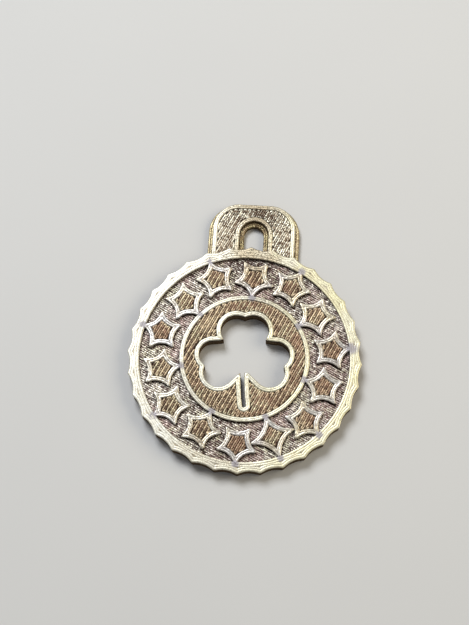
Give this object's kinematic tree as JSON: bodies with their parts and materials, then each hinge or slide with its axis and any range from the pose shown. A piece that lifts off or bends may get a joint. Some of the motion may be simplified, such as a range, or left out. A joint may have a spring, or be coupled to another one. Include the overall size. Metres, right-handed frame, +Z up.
{
  "type": "hanging ornament",
  "caption": "Flat scalloped hanging ornament with a raised ring of stars, a raised centre medallion with a shamrock cut-out, and a slotted hanger tab.",
  "frame": {"origin": "under the middle of the whole outline, on the flat back that the ornament lies on", "axes": "+Z up out of the relief, +Y from the disc to the hanger tab, +X to the right of the relief"},
  "size_m": [0.05, 0.0604, 0.0032],
  "materials": {
    "outline_gold": "silk gold filament, smooth printed lines",
    "hatch_gold": "silk gold filament, slanting infill lines",
    "base_gold": "silk gold filament, rough lower layer and stacked layer edges"
  },
  "bodies": {
    "root": {"base_disc": "base_gold", "hanger_base": "base_gold", "edge_rim": "outline_gold", "medallion_border": "outline_gold", "shamrock_border": "outline_gold", "hanger_border": "outline_gold", "slot_border": "outline_gold", "medallion_core": "hatch_gold", "hanger_core": "hatch_gold", "four_point_star_core": "hatch_gold", "four_point_star_border": "outline_gold", "star_01_core": "hatch_gold", "star_01_border": "outline_gold", "star_02_core": "hatch_gold", "star_02_border": "outline_gold", "star_03_core": "hatch_gold", "star_03_border": "outline_gold", "star_04_core": "hatch_gold", "star_04_border": "outline_gold", "star_05_core": "hatch_gold", "star_05_border": "outline_gold", "star_06_core": "hatch_gold", "star_06_border": "outline_gold", "star_07_core": "hatch_gold", "star_07_border": "outline_gold", "star_08_core": "hatch_gold", "star_08_border": "outline_gold", "star_09_core": "hatch_gold", "star_09_border": "outline_gold", "star_10_core": "hatch_gold", "star_10_border": "outline_gold", "star_11_core": "hatch_gold", "star_11_border": "outline_gold", "star_12_core": "hatch_gold", "star_12_border": "outline_gold", "star_13_core": "hatch_gold", "star_13_border": "outline_gold"}
  },
  "joints": []
}
